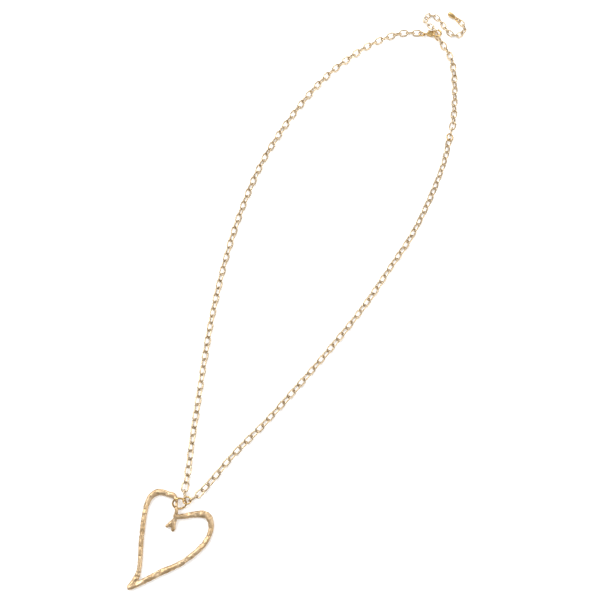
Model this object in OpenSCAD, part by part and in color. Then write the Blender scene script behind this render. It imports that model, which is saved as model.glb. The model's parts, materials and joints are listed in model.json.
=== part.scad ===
// Long pendant necklace: an open hammered heart on an oval cable chain, closed by a lobster clasp
// that hooks a ring with a short extender chain. It lies flat on the XY plane, +Z up, in mm.

/* [Chain] */
// Outer length of a chain link
link_length = 7.4; // [7.3:0.1:7.6]
// Outer width of a chain link
link_width = 5.2; // [5:0.1:5.4]
// Wire diameter of a chain link
link_wire = 1.1; // [0.9:0.05:1.15]
// Links in the left strand, from the heart to the clasp
left_links = 81; // [80:1:83]
// Links in the right strand below the joining ring
right_links = 62; // [61:1:63]
// Links in the right strand above the joining ring
upper_links = 17; // [16:1:18]

/* [Extender] */
// Outer length of an extender link
ext_length = 6.3; // [6.2:0.1:6.4]
// Outer width of an extender link
ext_width = 4.3; // [4.2:0.1:4.5]
// Wire diameter of an extender link
ext_wire = 0.9; // [0.8:0.05:0.95]
// Links in the extender
ext_links = 16; // [15:1:17]
// Length of the drop at the end of the extender, without its eye
drop_length = 6.8; // [6:0.1:7.5]
// Greatest diameter of the drop
drop_d = 3.6; // [3:0.1:4]

/* [Heart] */
// Width of the heart's band, seen from above
band_width = 3.3; // [2.9:0.1:3.7]
// Height of the band above the surface it lies on
band_height = 2.8; // [2.4:0.1:3.2]
// How far the hammer marks go in and out
hammer_depth = 0.12; // [0:0.02:0.2]

/* [Rings] */
// Outer diameter of the ring round the heart's neck
pendant_ring_d = 9.6; // [9.4:0.1:9.8]
// Wire diameter of the ring round the heart's neck
pendant_ring_wire = 1.2; // [1:0.05:1.25]
// Outer diameter of the ring that joins the two strands
strand_ring_d = 6; // [5.9:0.1:6.2]
// Outer diameter of the ring in the right strand
joining_ring_d = 6.2; // [6:0.1:6.4]
// Outer diameter of the ring that the clasp hooks
end_ring_d = 8; // [7.9:0.1:8.1]
// Wire diameter of the three rings above
ring_wire = 1; // [0.9:0.05:1.05]

/* [Clasp] */
// Thickness of the clasp's housing
clasp_thickness = 2.6; // [2.4:0.1:2.8]
// Wire diameter of the clasp's hook
hook_wire = 1.4; // [1.3:0.05:1.45]
// Diameter of the lever's pin
pin_d = 0.8; // [0.7:0.05:0.9]

/* [Hidden] */
$fn = 32;
run = 5;
ext_run = 3;
band_sides = 12;
gold = "#dcb682";
bright_gold = "#e2b764";

left_upright = 4;
right_upright = 1.2;
upper_upright = 2;
ext_upright = 2;

// Ring centres, and tilts about X, Y and Z.
pendant_ring_at = [-85.6, -156.6, 3.7];
pendant_ring_tilt = [45, -4.5, 12];
strand_ring_at = [-81, -154.7, 3.5];
strand_ring_tilt = [-20, 20, 34];
joining_ring_at = [98.4, 100.3, 2.5];
joining_ring_tilt = [28, -1, 70];
end_ring_at = [92.93, 185.37, 3.2];
end_ring_tilt = [38, -35, 127];
clasp_ring_at = [82.05, 188.1, 1.75];
clasp_ring_d = 5;
clasp_ring_tilt = [-11, 10, 13];
drop_ring_at = [110.55, 199.95, 1.85];
drop_ring_d = 4.6;
drop_ring_tilt = [-10.5, 13, -8];
drop_at = [108.3, 202, 2];
drop_heading = 139;
drop_eye_d = 3.6;

// The clasp, measured from its eye along its length.
clasp_at = [84.2, 188, 1.55];
clasp_tilt = [0, -2, 4];
eye_d = 3;
eye_wire = 0.8;
neck_r = 0.65;
pivot = [4.6, 0.3];
housing_r = 1.9;
slot_back = 1.7;
slot_floor = -0.9;
slot_width = 1.3;
hook_centre = [9.7, 0];
hook_r = 2.8;
hook_from = -145;
hook_to = 62;
lever_root_r = 0.95;
lever_thickness = 1;

// The routes run through the points where one link meets the next: [x, y, height].
left_route = [
    [-82.3, -153.8, 2.7], [-83.1, -150.1, 2.75], [-82.2, -144, 2.7], [-81, -135, 2.6], [-79.5, -118, 2.3],
    [-75.5, -82, 2.15], [-70.5, -42, 2.15], [-63.5, -3, 2.15], [-53.5, 36, 2.15], [-40, 74, 2.15],
    [-26, 101.5, 2.15], [-7.5, 130, 2.15], [12, 153.5, 2.15], [35, 173, 2.15], [52, 183, 2.15],
    [67, 188.3, 2.15], [80.9, 188.4, 2.1]
];
right_route = [
    [-79.4, -154.7, 2.7], [-75.8, -152.7, 2.75], [-71, -148, 2.7], [-64, -140, 2.6], [-52, -125.5, 2.3],
    [-31, -104, 2.15], [-5, -74.5, 2.15], [17.5, -47.5, 2.15], [36, -23.5, 2.15], [53, 2, 2.15],
    [67, 23, 2.15], [81, 50.5, 2.15], [92.5, 78.5, 2.15], [97.8, 98.4, 2.3]
];
upper_route = [
    [98.9, 102.2, 2.75], [101.5, 112, 2.7], [103, 124, 2.3], [104, 135, 2.15], [104.5, 154, 2.15],
    [102.5, 168, 2.15], [97.4, 178.2, 2.4], [94.39, 183.7, 3.1]
];
ext_route = [
    [92.05, 187.6, 4.9], [90.05, 191.6, 4.55], [87.3, 195, 3.45], [85.2, 199, 2.5], [86.4, 203.2, 2.15],
    [90.3, 204.8, 1.95], [94, 202.7, 1.85], [97, 199, 1.8], [101, 191.5, 1.8],
    [104.4, 187.6, 1.75], [108.2, 186.3, 1.75], [112.4, 187.9, 1.75], [114.9, 191.6, 1.75],
    [114, 196, 1.75], [111.5, 199.2, 1.75]
];

function catmull(a, b, c, d, t) =
    (2 * b + (c - a) * t + (2 * a - 5 * b + 4 * c - d) * t ^ 2 + (3 * b - a - 3 * c + d) * t ^ 3) / 2;
function smooth(p, n = 8) = concat(
    [for (i = [0 : len(p) - 2], j = [0 : n - 1])
        catmull(p[max(i - 1, 0)], p[i], p[i + 1], p[min(i + 2, len(p) - 1)], j / n)],
    [p[len(p) - 1]]
);
function lengths(p) = [
    for (i = 0, s = 0; i < len(p); i = i + 1, s = s + (i < len(p) ? norm(p[i] - p[i - 1]) : 0)) s
];
function measured(route) =
    let (p = smooth(route), s = lengths(p))
    [for (axis = [0 : 2]) [for (i = [0 : len(p) - 1]) [s[i], p[i][axis]]]];
function whole(path) = path[0][len(path[0]) - 1][0];
function at(path, s) = [for (axis = [0 : 2]) lookup(s, path[axis])];
function meeting(path, links, k) = at(path, whole(path) * k / links);

left_path = measured(left_route);
right_path = measured(right_route);
upper_path = measured(upper_route);
ext_path = measured(ext_route);

function two(n) = str(n < 10 ? "0" : "", n);
function first_link(n, links, runs) = floor((n - 1) * links / runs);
left_runs = floor(left_links / run);
right_runs = floor(right_links / run);
upper_runs = floor(upper_links / run);
ext_runs = floor(ext_links / ext_run);

module tube_arc(bend_r, wire, from, sweep) {
    rotate([0, 0, from]) rotate_extrude(angle = sweep) translate([bend_r, 0]) circle(d = wire);
}

module ring(outer_d, wire) {
    rotate_extrude() translate([(outer_d - wire) / 2, 0]) circle(d = wire);
}

// A link: two half rings joined by two short straight sides.
module oval_link(length, width, wire) {
    end_r = (width - wire) / 2;
    straight = length - width;
    for (side = [0, 180]) rotate([0, 0, side]) {
        translate([straight / 2, 0, 0]) tube_arc(end_r, wire, -90, 180);
        translate([-straight / 2, end_r, 0]) rotate([0, 90, 0]) cylinder(d = wire, h = straight);
    }
}

// Places a child that lies along X between two points, rolled about its own length.
module between(a, b, roll) {
    d = b - a;
    translate((a + b) / 2)
        rotate([roll, -atan2(d[2], norm([d[0], d[1]])), atan2(d[1], d[0])])
        children();
}

// Links lie on one shoulder or the other. Towards a strand's start they stand up and lie flat in turn.
function roll_of(k, upright) = (k % 2 == 0 ? 45 : -45) + 45 * exp(-k / upright) + 4 * sin(137 * k);

module chain_run(path, links, runs, n, upright) {
    for (k = [first_link(n, links, runs) : first_link(n + 1, links, runs) - 1])
        between(meeting(path, links, k), meeting(path, links, k + 1), roll_of(k, upright))
            oval_link(link_length, link_width, link_wire);
}

module left_chain(n) {
    color(gold) chain_run(left_path, left_links, left_runs, n, left_upright);
}

module right_chain(n) {
    color(gold) chain_run(right_path, right_links, right_runs, n, right_upright);
}

module upper_chain(n) {
    color(gold) chain_run(upper_path, upper_links, upper_runs, n, upper_upright);
}

module extender(n) {
    color(gold)
        for (k = [first_link(n, ext_links, ext_runs) : first_link(n + 1, ext_links, ext_runs) - 1])
            between(meeting(ext_path, ext_links, k), meeting(ext_path, ext_links, k + 1),
                    roll_of(k, ext_upright))
                oval_link(ext_length, ext_width, ext_wire);
}

// Each ring has a centre and the tilts that lay it against what it holds.
module pendant_ring() {
    color(bright_gold)
        translate(pendant_ring_at) rotate(pendant_ring_tilt) ring(pendant_ring_d, pendant_ring_wire);
}

module strand_ring() {
    color(bright_gold) translate(strand_ring_at) rotate(strand_ring_tilt) ring(strand_ring_d, ring_wire);
}

module joining_ring() {
    color(bright_gold)
        translate(joining_ring_at) rotate(joining_ring_tilt) ring(joining_ring_d, ring_wire);
}

module end_ring() {
    color(bright_gold) translate(end_ring_at) rotate(end_ring_tilt) ring(end_ring_d, ring_wire);
}

module clasp_ring() {
    color(bright_gold) translate(clasp_ring_at) rotate(clasp_ring_tilt) ring(clasp_ring_d, ext_wire);
}

module drop_ring() {
    color(bright_gold) translate(drop_ring_at) rotate(drop_ring_tilt) ring(drop_ring_d, ext_wire);
}

// A solid drop: a round end that narrows along a curve to a small eye.
module drop() {
    r = drop_d / 2;
    top_r = 0.9;
    flank_r = (drop_length - r) ^ 2 / (2 * (r - top_r)) + (r - top_r) / 2;
    color(bright_gold) translate(drop_at) rotate([0, 90, drop_heading]) {
        rotate_extrude() intersection() {
            union() {
                translate([0, drop_length - r]) circle(r);
                intersection() {
                    translate([r - flank_r, drop_length - r]) circle(flank_r, $fn = 200);
                    square([r, drop_length - r]);
                }
            }
            square([r, drop_length]);
        }
        translate([0, 0, -drop_eye_d / 2 + ext_wire]) rotate([90, 0, 0]) ring(drop_eye_d, ext_wire);
    }
}

module in_clasp() {
    translate(clasp_at) rotate(clasp_tilt) children();
}

function on_hook(angle) = hook_centre + hook_r * [cos(angle), sin(angle)];

// Lobster clasp: a standing eye, a slotted housing for the lever and a hooked claw.
module clasp_body() {
    shoulder = pivot + [0.1, -0.4];
    start = on_hook(hook_from);
    color(bright_gold) in_clasp() difference() {
        union() {
            rotate([90, 0, 0]) ring(eye_d, eye_wire);
            translate([(eye_d - eye_wire) / 2, 0, 0]) rotate([0, 90, 0]) cylinder(r = neck_r, h = 2);
            linear_extrude(clasp_thickness, center = true) {
                translate(shoulder) circle(housing_r);
                polygon([[2, 0.8], [2, -0.8], shoulder + [-0.6, -1.7], shoulder + [-0.4, 1.8]]);
            }
            translate([shoulder[0], start[1], 0])
                rotate([0, 90, 0]) cylinder(d = hook_wire + 0.2, h = start[0] - shoulder[0]);
            translate([start[0], start[1], 0]) sphere(d = hook_wire + 0.3);
            translate([hook_centre[0], hook_centre[1], 0])
                tube_arc(hook_r, hook_wire, hook_from, hook_to - hook_from);
            translate([on_hook(hook_to)[0], on_hook(hook_to)[1], 0]) sphere(d = hook_wire + 0.1);
        }
        translate([pivot[0] - slot_back, slot_floor, -slot_width / 2])
            cube([slot_back + 3, 2 * housing_r + 2, slot_width]);
        translate([pivot[0], pivot[1], -clasp_thickness]) cylinder(d = pin_d, h = 2 * clasp_thickness);
    }
}

module clasp_pin() {
    color(gold) in_clasp() translate([pivot[0], pivot[1], 0])
        cylinder(d = pin_d, h = clasp_thickness, center = true);
}

// The lever turns on the pin. Its tip meets the hook's and its heel is the thumb piece.
module clasp_lever() {
    tip = on_hook(hook_to) - [hook_wire / 2 + 0.2, 0];
    color(gold) in_clasp() difference() {
        linear_extrude(lever_thickness, center = true) {
            translate(pivot) circle(lever_root_r);
            translate(pivot + [-0.9, 1.9]) circle(0.75);
            polygon([
                pivot + [-1.6, 1.7], pivot + [0, -0.8], pivot + [0.7, -0.6], tip - [0.6, 0.5],
                tip - [0, 0.4], tip + [0, 0.35], tip + [-1.2, 0.45], pivot + [1, 1.75], pivot + [-0.6, 2.6]
            ]);
        }
        translate([pivot[0], pivot[1], 0])
            cylinder(d = pin_d + 0.1, h = 2 * clasp_thickness, center = true);
    }
}

// A bent leaf spring between the housing's floor and the lever's heel.
module clasp_spring() {
    color(gold) in_clasp() translate([pivot[0] - slot_back + 0.15, slot_floor + 0.1, 0])
        linear_extrude(0.9, center = true)
            polygon([[0, 0], [1.1, 0], [1.1, 0.2], [0.3, 0.2], [0.6, 1.1], [0.45, 1.25], [0, 0.3]]);
}

// The band's outline: [x, y, height of its middle, width, thickness] from the inner end over
// the left lobe to the tip, and back over the right lobe to the neck.
left_band = [
    [-88.9, -172.4, 1.5, 0.75, 0.8], [-89, -169, 1.7, 1, 0.9], [-88.3, -165.6, 2.2, 1, 0.95],
    [-87.5, -161.4, 3.1, 0.75, 0.85], [-87.5, -157.4, 3.4, 0.7, 0.75], [-88.2, -154, 3, 0.85, 0.85],
    [-90.4, -151.5, 2.1, 1.25, 1], [-94.6, -150.3, 1.5, 1.2, 1], [-99.9, -149.6, 1.4, 1.4, 1],
    [-104.2, -152.2, 1.4, 1.2, 1], [-106.6, -157.4, 1.4, 1.05, 1], [-107.9, -166, 1.4, 1, 1],
    [-108.7, -178, 1.4, 1, 1], [-108.7, -189, 1.4, 0.9, 1], [-109.3, -197, 1.4, 1, 1],
    [-111.4, -202.2, 1.4, 1.15, 1], [-115.4, -206.6, 1.3, 0.75, 0.8]
];
right_band = [
    [-115.5, -207, 1.3, 0.7, 0.8], [-112, -205.4, 1.4, 1.1, 1], [-107.6, -203.6, 1.4, 1.05, 1],
    [-102.8, -201.1, 1.4, 1.2, 1], [-95.2, -197.4, 1.4, 1.25, 1], [-85.7, -193.4, 1.4, 1.1, 1],
    [-76.9, -187.8, 1.4, 1.1, 1], [-70.2, -181.6, 1.4, 1.1, 1], [-66.3, -175, 1.4, 1.05, 1],
    [-65.6, -169, 1.4, 1.15, 1], [-67.6, -164.4, 1.4, 1.4, 1], [-71.4, -162.9, 1.4, 1.45, 1],
    [-77.4, -163.3, 1.6, 1.2, 1], [-83.2, -164.3, 2, 1.1, 1], [-87.4, -164.6, 2.3, 0.9, 0.95]
];
side_prong = [
    [-88.9, -166.8, 1.8, 0.9, 0.8], [-90.8, -168, 1.6, 0.8, 0.75], [-93, -170.2, 1.4, 0.5, 0.55]
];

// One cross-section of the band: an oval whose radius wanders with the hammer marks.
function band_ring(p, along, i) =
    let (side = [-along[1], along[0], 0] / norm([along[0], along[1]]))
    [for (j = [0 : band_sides - 1])
        let (t = 360 * j / band_sides, dent = hammer_depth * sin(67 * i + 113 * j) * sin(29 * i))
        [p[0], p[1], p[2]]
            + side * (p[3] * band_width / 2 + dent) * cos(t)
            + [0, 0, (p[4] * band_height / 2 + dent / 3) * sin(t)]];

module band(route, n = 4) {
    p = smooth(route, n);
    last = len(p) - 1;
    points = [for (i = [0 : last])
        each band_ring(p[i], p[min(i + 1, last)] - p[max(i - 1, 0)], i)];
    sides = [for (i = [0 : last - 1], j = [0 : band_sides - 1])
        let (a = i * band_sides + j, b = i * band_sides + (j + 1) % band_sides)
        each [[a, a + band_sides, b], [b, a + band_sides, b + band_sides]]];
    start = [for (j = [0 : band_sides - 1]) j];
    end = [for (j = [band_sides - 1 : -1 : 0]) last * band_sides + j];
    polyhedron(points, concat(sides, [start, end]));
}

module heart() {
    color(gold) translate([0, 0, hammer_depth / 2]) union() {
        band(left_band);
        band(right_band);
        band(side_prong);
    }
}

heart();
pendant_ring();
strand_ring();
joining_ring();
end_ring();
clasp_ring();
clasp_body();
clasp_pin();
clasp_lever();
clasp_spring();
drop_ring();
drop();
for (n = [1 : left_runs])
    left_chain(n);
for (n = [1 : right_runs])
    right_chain(n);
for (n = [1 : upper_runs])
    upper_chain(n);
for (n = [1 : ext_runs])
    extender(n);
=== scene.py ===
import json
import math
import random

import bmesh
import bpy
import numpy as np
from mathutils import Matrix, Vector, noise


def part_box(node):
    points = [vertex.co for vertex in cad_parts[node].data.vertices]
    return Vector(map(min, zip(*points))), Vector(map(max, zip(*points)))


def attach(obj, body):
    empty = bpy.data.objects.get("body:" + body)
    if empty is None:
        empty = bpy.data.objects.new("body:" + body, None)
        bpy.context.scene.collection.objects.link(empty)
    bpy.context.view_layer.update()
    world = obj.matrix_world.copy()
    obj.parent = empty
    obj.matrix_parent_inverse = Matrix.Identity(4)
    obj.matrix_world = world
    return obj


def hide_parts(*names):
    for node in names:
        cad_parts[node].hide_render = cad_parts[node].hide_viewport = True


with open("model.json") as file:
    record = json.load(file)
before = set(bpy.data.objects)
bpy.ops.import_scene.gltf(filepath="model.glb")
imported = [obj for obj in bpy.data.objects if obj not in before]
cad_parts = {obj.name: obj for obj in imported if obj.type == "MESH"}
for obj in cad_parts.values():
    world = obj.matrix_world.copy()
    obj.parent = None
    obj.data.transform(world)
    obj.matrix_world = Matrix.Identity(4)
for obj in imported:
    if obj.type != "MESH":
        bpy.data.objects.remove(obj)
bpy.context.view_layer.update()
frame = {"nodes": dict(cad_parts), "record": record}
NODES = frame["nodes"]
BODIES = frame["record"]["behaviour"]["bodies"]
BODY_OF = {node: body for body, members in BODIES.items() for node in members}
MM = 0.001
WELD = 1e-6


# ---------------------------------------------------------------- materials

NOISE_SPAN = (0.3, 0.7)             # nearly all of a noise texture's values lie in here
SHADE_STOPS = (0.3, 0.5, 0.72)
DIMPLE_SCALE = 520


def add(tree, kind, **values):
    n = tree.nodes.new(kind)
    for key, value in values.items():
        if key in n.inputs:
            n.inputs[key].default_value = value
        else:
            setattr(n, key, value)
    return n


def noise_at(tree, coords, scale, detail):
    n = add(tree, "ShaderNodeTexNoise", Scale=scale, Detail=detail, Roughness=0.55)
    tree.links.new(coords.outputs["Object"], n.inputs["Vector"])
    return n.outputs["Fac"]


def ramp(tree, source, stops):
    r = add(tree, "ShaderNodeValToRGB")
    while len(r.color_ramp.elements) < len(stops):
        r.color_ramp.elements.new(0.5)
    for element, (where, colour) in zip(r.color_ramp.elements, stops):
        element.position = where
        element.color = (*colour, 1)
    tree.links.new(source, r.inputs["Fac"])
    return r.outputs["Color"]


def between(tree, source, low, high):
    m = add(tree, "ShaderNodeMapRange")
    m.inputs["From Min"].default_value = NOISE_SPAN[0]
    m.inputs["From Max"].default_value = NOISE_SPAN[1]
    m.inputs["To Min"].default_value = low
    m.inputs["To Max"].default_value = high
    tree.links.new(source, m.inputs["Value"])
    return m.outputs["Result"]


def bump(tree, source, depth, normal=None):
    b = add(tree, "ShaderNodeBump", Strength=1.0, Distance=depth)
    tree.links.new(source, b.inputs["Height"])
    if normal:
        tree.links.new(normal, b.inputs["Normal"])
    return b.outputs["Normal"]


def gold(name, shades, rough, patch, grain, grain_depth, dimple_depth=0.0):
    """Plated metal: the colour and gloss wander in patches, and a fine grain breaks up the reflections."""
    m = bpy.data.materials.new(name)
    m.use_nodes = True
    t = m.node_tree
    shader = t.nodes["Principled BSDF"]
    shader.inputs["Metallic"].default_value = 1.0
    coords = add(t, "ShaderNodeTexCoord")
    patches = noise_at(t, coords, patch, 4)
    t.links.new(ramp(t, patches, list(zip(SHADE_STOPS, shades))), shader.inputs["Base Color"])
    worn = noise_at(t, coords, patch * 3.1, 5)
    t.links.new(between(t, worn, *rough), shader.inputs["Roughness"])
    normal = bump(t, noise_at(t, coords, grain, 6), grain_depth)
    if dimple_depth:
        cells = add(t, "ShaderNodeTexVoronoi", feature="SMOOTH_F1", Scale=DIMPLE_SCALE, Smoothness=0.6)
        t.links.new(coords.outputs["Object"], cells.inputs["Vector"])
        normal = bump(t, cells.outputs["Distance"], dimple_depth, normal)
    t.links.new(normal, shader.inputs["Normal"])
    return m


SATIN = gold("hammered_satin_gold", ((0.43, 0.29, 0.15), (0.55, 0.40, 0.24), (0.67, 0.52, 0.35)),
             rough=(0.36, 0.5), patch=160, grain=4200, grain_depth=1.2e-5, dimple_depth=6e-5)
CHAIN = gold("chain_gold", ((0.43, 0.32, 0.19), (0.56, 0.44, 0.29), (0.68, 0.57, 0.41)),
             rough=(0.18, 0.32), patch=420, grain=5200, grain_depth=0.8e-5)
BRIGHT = gold("bright_gold", ((0.47, 0.30, 0.11), (0.59, 0.40, 0.17), (0.69, 0.51, 0.26)),
              rough=(0.10, 0.22), patch=500, grain=6000, grain_depth=0.5e-5)


def white_paper():
    """A matt white floor that gives off a little light of its own, as bright paper looks in the photo."""
    m = bpy.data.materials.new("pale_floor")
    m.use_nodes = True
    t = m.node_tree
    shader = t.nodes["Principled BSDF"]
    coords = add(t, "ShaderNodeTexCoord")
    stops = list(zip(NOISE_SPAN, ((0.93, 0.93, 0.93), (0.95, 0.95, 0.95))))
    t.links.new(ramp(t, noise_at(t, coords, 30, 4), stops), shader.inputs["Base Color"])
    shader.inputs["Roughness"].default_value = 0.9
    shader.inputs["Specular IOR Level"].default_value = 0.1
    # Painted glow: the floor emits a little light although it is no lamp, lightening the shadows cast on it
    # and lighting the gold from below.
    shader.inputs["Emission Color"].default_value = (1, 1, 1, 1)
    shader.inputs["Emission Strength"].default_value = 0.2
    return m


# ---------------------------------------------------------------- mesh helpers

def finish_piece(name, bm, node, material):
    mesh = bpy.data.meshes.new(name)
    bmesh.ops.recalc_face_normals(bm, faces=bm.faces)
    bm.to_mesh(mesh)
    bm.free()
    piece = bpy.data.objects.new(name, mesh)
    bpy.context.collection.objects.link(piece)
    mesh.materials.append(material)
    mesh.shade_smooth()
    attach(piece, BODY_OF[node])
    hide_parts(node)


def solids_of(node):
    """The points of each separate solid in a CAD node."""
    bm = bmesh.new()
    bm.from_mesh(NODES[node].data)
    bmesh.ops.remove_doubles(bm, verts=bm.verts, dist=WELD)
    bm.verts.ensure_lookup_table()
    seen = [False] * len(bm.verts)
    solids = []
    for first in bm.verts:
        if seen[first.index]:
            continue
        seen[first.index] = True
        stack, members = [first], []
        while stack:
            v = stack.pop()
            members.append(v.co[:])
            for e in v.link_edges:
                other = e.other_vert(v)
                if not seen[other.index]:
                    seen[other.index] = True
                    stack.append(other)
        solids.append(np.array(members))
    bm.free()
    return solids


def own_axes(points):
    """A solid's own frame: its long axis, its wide axis and its thin axis, and its size along each."""
    middle = points.mean(axis=0)
    _, vectors = np.linalg.eigh(np.cov((points - middle).T))
    axes = vectors[:, ::-1].T
    if axes[2][2] < 0:
        axes[2] = -axes[2]
    axes[1] = np.cross(axes[2], axes[0])
    along = (points - middle) @ axes.T
    low, high = along.min(axis=0), along.max(axis=0)
    place = Matrix.Identity(4)
    for column in range(3):
        for row in range(3):
            place[row][column] = axes[column][row]
    place.translation = Vector(middle + ((low + high) / 2) @ axes)
    return place, high - low


def tube(bm, centres, radii, closed, sides, worn=0.0):
    """A round wire through the centres, in the XY plane. worn is the share of its outer face rubbed off."""
    rings = []
    count = len(centres)
    for i, (c, r) in enumerate(zip(centres, radii)):
        before = centres[(i - 1) % count] if closed or i else centres[i]
        after = centres[(i + 1) % count] if closed or i < count - 1 else centres[i]
        along = (after - before).normalized()
        side = Vector((along.y, -along.x, 0))
        ring = []
        for j in range(sides):
            t = 2 * math.pi * j / sides
            reach = math.cos(t)
            if reach > 0:
                reach *= 1 - worn * reach ** 4
            ring.append(bm.verts.new(c + side * (r * reach) + Vector((0, 0, r * math.sin(t)))))
        rings.append(ring)
    for i in range(count if closed else count - 1):
        a, b = rings[i], rings[(i + 1) % count]
        for j in range(sides):
            k = (j + 1) % sides
            bm.faces.new((a[j], b[j], b[k], a[k]))
    if not closed:
        for ring, c in ((rings[0], centres[0]), (rings[-1], centres[-1])):
            hub = bm.verts.new(c)
            for j in range(sides):
                bm.faces.new((ring[j], ring[(j + 1) % sides], hub))
    return [v for ring in rings for v in ring]


# ---------------------------------------------------------------- chain

ARC_STEPS = 28
SIDE_STEPS = 14
LINK_SIDES = 16
LINK_WEAR = 0.06
LINK_WAVER = 0.01                   # shares of the wire's radius
SEAM_DEPTH = 0.08
SEAM_WIDTH = 0.16 * MM


def link(bm, place, size, rng):
    """One oval link: two half rings and two straight sides, with the soldered seam along one side."""
    wire = size[2] / 2
    bend = size[1] / 2 - wire
    straight = (size[0] - size[1]) / 2
    centres = []
    for end in (1, -1):
        for i in range(ARC_STEPS + 1):
            t = math.pi * (i / ARC_STEPS - 0.5)
            centres.append(Vector((end * (straight + bend * math.cos(t)), end * bend * math.sin(t), 0)))
        for i in range(1, SIDE_STEPS):
            centres.append(Vector((end * straight * (1 - 2 * i / SIDE_STEPS), end * bend, 0)))
    seam = Vector((rng.uniform(-0.3, 0.3) * MM, rng.choice((-bend, bend)), 0))
    phase = rng.uniform(0, 6.28)
    radii = []
    for i, c in enumerate(centres):
        groove = SEAM_DEPTH * math.exp(-((c - seam).length / SEAM_WIDTH) ** 2)
        waver = LINK_WAVER * math.sin(6 * math.pi * i / len(centres) + phase)
        radii.append(wire * (1 - LINK_WAVER - groove + waver))
    for v in tube(bm, centres, radii, True, LINK_SIDES, LINK_WEAR):
        v.co = place @ v.co


def chain_piece(node):
    rng = random.Random(node)
    bm = bmesh.new()
    for points in solids_of(node):
        place, size = own_axes(points)
        link(bm, place, size, rng)
    finish_piece(node + "_links", bm, node, CHAIN)


# ---------------------------------------------------------------- rings

RING_STEPS = 120
RING_SIDES = 24
RING_GAP = 0.1 * MM
RING_WAVER = 0.005                  # shares of the wire's radius
CUT_TAPER = 0.07


def ring_piece(node, cut_at):
    """A jump ring of round wire, its two cut ends almost closed. cut_at is the cut's heading in degrees."""
    (points,) = solids_of(node)
    place, size = own_axes(points)
    wire = size[2] / 2
    bend = (size[0] + size[1]) / 4 - wire
    half_gap = RING_GAP / 2 / bend
    centres, radii = [], []
    for i in range(RING_STEPS + 1):
        t = math.radians(cut_at) + half_gap + (2 * math.pi - 2 * half_gap) * i / RING_STEPS
        centres.append(Vector((bend * math.cos(t), bend * math.sin(t), 0)))
        from_cut = min(i, RING_STEPS - i)
        taper = 1 - CUT_TAPER * math.exp(-from_cut * 1.6)
        radii.append(wire * taper * (1 - RING_WAVER + RING_WAVER * math.sin(5 * t)))
    bm = bmesh.new()
    tube(bm, centres, radii, False, RING_SIDES)
    bmesh.ops.transform(bm, matrix=place, verts=bm.verts)
    finish_piece(node + "_wire", bm, node, BRIGHT)


# ---------------------------------------------------------------- cast pieces

RIPPLE_SCALE = 900                  # ripples a metre, so about 1 mm each


def cast_copy(node, cell, rounds, lumps=()):
    """A copy of a CAD node as one even skin, with its edges rounded as casting and tumbling leave them."""
    bm = bmesh.new()
    bm.from_mesh(NODES[node].data)
    bmesh.ops.remove_doubles(bm, verts=bm.verts, dist=WELD)
    for middle, half_sizes, heading in lumps:
        place = Matrix.Translation(middle) @ Matrix.Rotation(math.radians(heading), 4, "Z")
        place @= Matrix.Diagonal((*half_sizes, 1))
        bmesh.ops.create_uvsphere(bm, u_segments=24, v_segments=16, radius=MM, matrix=place)
    mesh = bpy.data.meshes.new(node + "_skin")
    bm.to_mesh(mesh)
    bm.free()
    skin = bpy.data.objects.new(node + "_skin", mesh)
    bpy.context.collection.objects.link(skin)
    even = skin.modifiers.new("even", "REMESH")
    even.mode = "VOXEL"
    even.voxel_size = cell
    soft = skin.modifiers.new("soft", "SMOOTH")
    soft.factor = 0.5
    soft.iterations = rounds
    result = bmesh.new()
    result.from_object(skin, bpy.context.evaluated_depsgraph_get())
    bpy.data.objects.remove(skin)
    bpy.data.meshes.remove(mesh)
    result.normal_update()
    return result


def cast_piece(node, cell, rounds, ripple):
    bm = cast_copy(node, cell, rounds)
    for v in bm.verts:
        v.co += v.normal * ripple * noise.noise(v.co * RIPPLE_SCALE)
    finish_piece(node + "_cast", bm, node, BRIGHT)


# ---------------------------------------------------------------- heart

HEART_CELL = 0.24 * MM
HEART_ROUNDS = 8
MARKS = 520
NICKS = 170
SPARED = 2.5 * MM                   # no hammer mark within this of a rounded end
MARK_MOST = 0.25 * MM


def heart_ends():
    """Rounded metal where the band's ends run together: the tip's beak and the inner end's fishtail.

    Each is an ellipsoid, in millimetres and degrees: its middle from the corner of the heart's box,
    its half sizes and its heading.
    """
    corner = Vector(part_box("heart")[0])
    beak = (((3.9, 3.7, 1.42), (3.7, 2.0, 1.3), 38),
            ((2.4, 2.1, 1.35), (1.9, 1.5, 1.15), 38))
    fishtail = (((23.2, 38.0, 1.5), (1.3, 1.2, 1.0), 50),
                ((26.9, 35.9, 1.5), (1.5, 1.25, 1.1), 80),
                ((25.6, 39.0, 1.5), (2.0, 1.5, 0.9), 70))
    return [(corner + Vector(offset) * MM, half_sizes, heading)
            for offset, half_sizes, heading in beak + fishtail]


def hammer_marks(rng, skin, normals, spared):
    """Flat facets: each cuts away what stands above a slightly tilted face."""
    untouched = skin.copy()
    for k in [rng.randrange(len(skin)) for _ in range(MARKS)]:
        if any((Vector(untouched[k]) - middle).length < SPARED for middle in spared):
            continue
        reach = rng.uniform(1.0, 2.6) * MM
        depth = rng.uniform(0.02, 0.10) * MM
        face = normals[k] + np.array([rng.gauss(0, 0.16) for _ in range(3)])
        face /= np.linalg.norm(face)
        near = np.where(((skin - skin[k]) ** 2).sum(axis=1) < reach ** 2)[0]
        near = near[(normals[near] @ face) > 0.3]
        above = (skin[near] - skin[k]) @ face + depth
        apart = np.linalg.norm(skin[near] - skin[k], axis=1) / reach
        fade = np.clip((1 - apart) * 4, 0, 1)
        skin[near] -= face * (np.clip(above, 0, MARK_MOST) * fade)[:, None]


def nicks(rng, skin, normals):
    for _ in range(NICKS):
        k = rng.randrange(len(skin))
        reach = rng.uniform(0.3, 0.75) * MM
        apart = np.linalg.norm(skin - skin[k], axis=1) / reach
        near = np.where(apart < 1)[0]
        skin[near] -= normals[k] * (rng.uniform(0.03, 0.10) * MM * (1 - apart[near] ** 2)[:, None])


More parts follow.
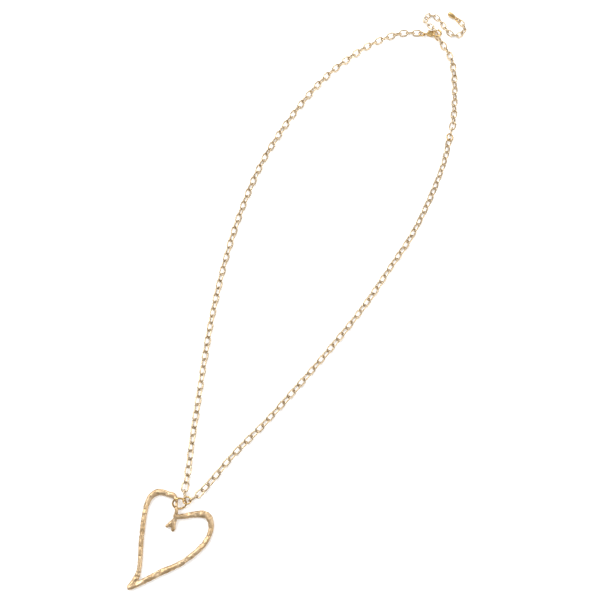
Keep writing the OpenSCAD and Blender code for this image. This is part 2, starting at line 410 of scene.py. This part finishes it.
def hammered_heart():
    """The heart's band with flat hammer marks cut into its skin, and small nicks along it."""
    rng = random.Random(11)
    lumps = heart_ends()
    bm = cast_copy("heart", HEART_CELL, HEART_ROUNDS, lumps)
    skin = np.array([v.co[:] for v in bm.verts])
    normals = np.array([v.normal[:] for v in bm.verts])
    hammer_marks(rng, skin, normals, [middle for middle, _, _ in lumps])
    nicks(rng, skin, normals)
    for v, co in zip(bm.verts, skin):
        v.co = co
    bmesh.ops.smooth_vert(bm, verts=bm.verts, factor=0.35,
                          use_axis_x=True, use_axis_y=True, use_axis_z=True)
    finish_piece("heart_hammered", bm, "heart", SATIN)


# ---------------------------------------------------------------- build

RINGS = ("pendant_ring", "strand_ring", "joining_ring", "end_ring", "clasp_ring", "drop_ring")

for node_name in NODES:
    if "chain_" in node_name or node_name.startswith("extender_"):
        chain_piece(node_name)
for number, ring_name in enumerate(RINGS):
    ring_piece(ring_name, 50 + 67 * number)
hammered_heart()
cast_piece("clasp_body", 0.06 * MM, 5, 0.008 * MM)
cast_piece("clasp_lever", 0.06 * MM, 3, 0.01 * MM)
cast_piece("drop", 0.08 * MM, 4, 0.015 * MM)
for node_name in ("clasp_pin", "clasp_spring"):
    plain = NODES[node_name].data
    plain.materials.clear()
    plain.materials.append(BRIGHT)


# ---------------------------------------------------------------- studio

def softbox(name, place, width, height, power):
    """A rectangular area light that faces the origin."""
    light = bpy.data.lights.new(name, "AREA")
    light.shape = "RECTANGLE"
    light.size, light.size_y = width, height
    light.energy = power
    lamp = bpy.data.objects.new(name, light)
    bpy.context.collection.objects.link(lamp)
    lamp.location = place
    lamp.rotation_euler = (-Vector(place)).to_track_quat("-Z", "Y").to_euler()


FLOOR_DROP = 0.02 * MM

bpy.ops.mesh.primitive_plane_add(size=6, location=(0, 0, -FLOOR_DROP))
floor = bpy.context.object
floor.name = "floor"
floor.data.materials.append(white_paper())

softbox("key", (-0.75, 0.35, 0.95), 0.7, 0.7, 10)
softbox("fill", (0.85, -0.2, 0.8), 0.5, 0.9, 5.5)
softbox("rim", (0.1, 0.95, 0.6), 1.0, 0.35, 5)

world = bpy.data.worlds.new("studio")
bpy.context.scene.world = world
world.use_nodes = True
sky = world.node_tree
direction = add(sky, "ShaderNodeTexCoord")
split = add(sky, "ShaderNodeSeparateXYZ")
sky.links.new(direction.outputs["Generated"], split.inputs["Vector"])
shade = ramp(sky, split.outputs["Z"], [(0.0, (0.6, 0.58, 0.55)), (0.35, (0.38, 0.36, 0.34)),
                                       (0.75, (0.68, 0.67, 0.66)), (1.0, (0.9, 0.9, 0.9))])
sky.links.new(shade, sky.nodes["Background"].inputs["Color"])
sky.nodes["Background"].inputs["Strength"].default_value = 0.88

camera = bpy.data.objects.new("camera", bpy.data.cameras.new("camera"))
bpy.context.collection.objects.link(camera)
camera.data.lens = 47.6
camera.data.sensor_width = 36
camera.data.clip_start = 0.01
camera.location = (-0.010, -0.180, 0.517)
camera.rotation_euler = (math.radians(17), 0, 0)
bpy.context.scene.camera = camera
bpy.context.scene.view_settings.view_transform = "Standard"
